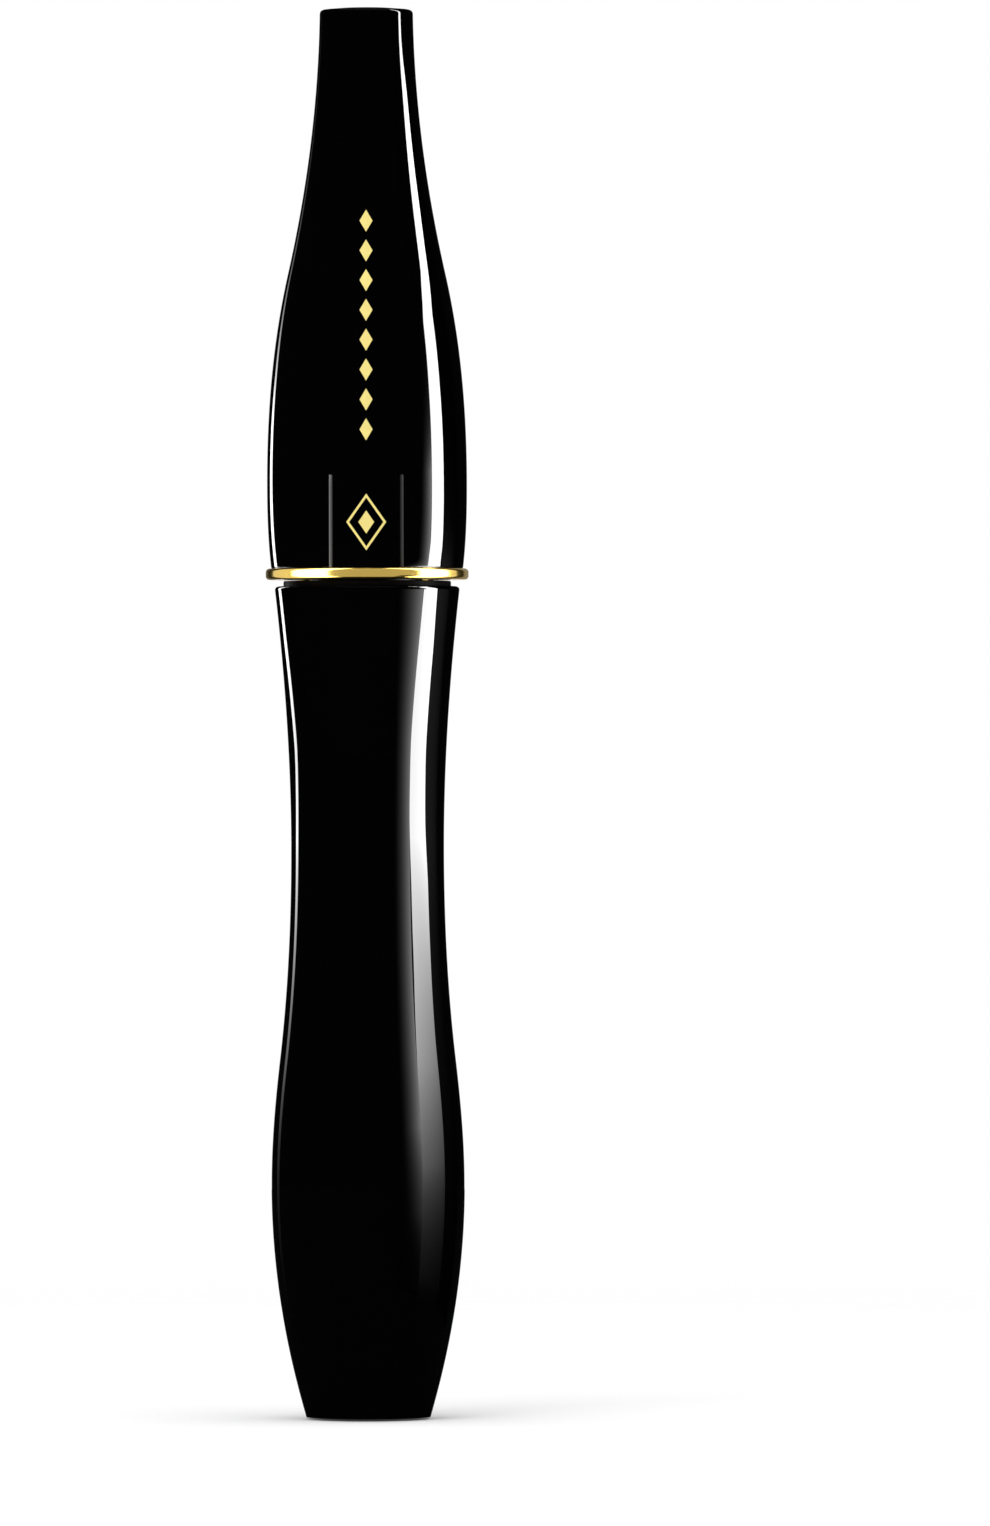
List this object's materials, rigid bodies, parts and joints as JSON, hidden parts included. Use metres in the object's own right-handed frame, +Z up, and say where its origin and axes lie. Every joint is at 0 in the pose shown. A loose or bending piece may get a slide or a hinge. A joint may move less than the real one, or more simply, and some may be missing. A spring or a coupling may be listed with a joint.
{
  "type": "mascara tube",
  "caption": "Slim waisted mascara tube with a barrel-shaped screw cap, a bright collar ring and a twisted-wire brush on a rod that draws out through a wiper.",
  "frame": {"origin": "centre of the foot on the table, on the tube's axis", "axes": "+Z up along the tube from foot to cap, -Y towards the front, where the cap has its shallow panel, +X to the viewer's right"},
  "size_m": [0.0194, 0.0194, 0.135],
  "materials": {
    "gloss_shell": "deep gloss black",
    "gloss_rod": "gloss black",
    "satin_plastic": "satin black",
    "wiper_plastic": "milky soft plastic",
    "seal_rubber": "matte black",
    "gold_metal": "polished gold",
    "weight_steel": "turned",
    "wire_steel": "black coated wire",
    "bristle_nylon": "black nylon filament"
  },
  "bodies": {
    "bottle": {"bottle_sleeve": "gloss_shell", "inner_vial": "satin_plastic", "wiper": "wiper_plastic"},
    "seal": {"seal_washer": "seal_rubber"},
    "slug": {"cap_weight": "weight_steel"},
    "cap": {"cap_shell": "gloss_shell", "collar_ring": "gold_metal", "inner_cap": "satin_plastic", "wand_rod": "gloss_rod", "twisted_wire": "wire_steel", "bristles": "bristle_nylon"}
  },
  "joints": [
    {"name": "applicator_pull", "type": "slide", "parent": "bottle", "child": "seal", "axis": [0, 0, 1], "range_m": [0, 0.095], "deforming": ["wiper"]},
    {"name": "cap_rise", "type": "slide", "parent": "seal", "child": "slug", "axis": [0, 0, 1], "range_m": [0, 0.0046]},
    {"name": "cap_unscrew", "type": "hinge", "parent": "slug", "child": "cap", "pos_m": [0, 0, 0], "axis": [0, 0, 1], "range_deg": [0, 540]}
  ],
  "couplings": [
    {"joint": "cap_rise", "follows": "cap_unscrew", "m_per_rad": 0.00047746}
  ]
}
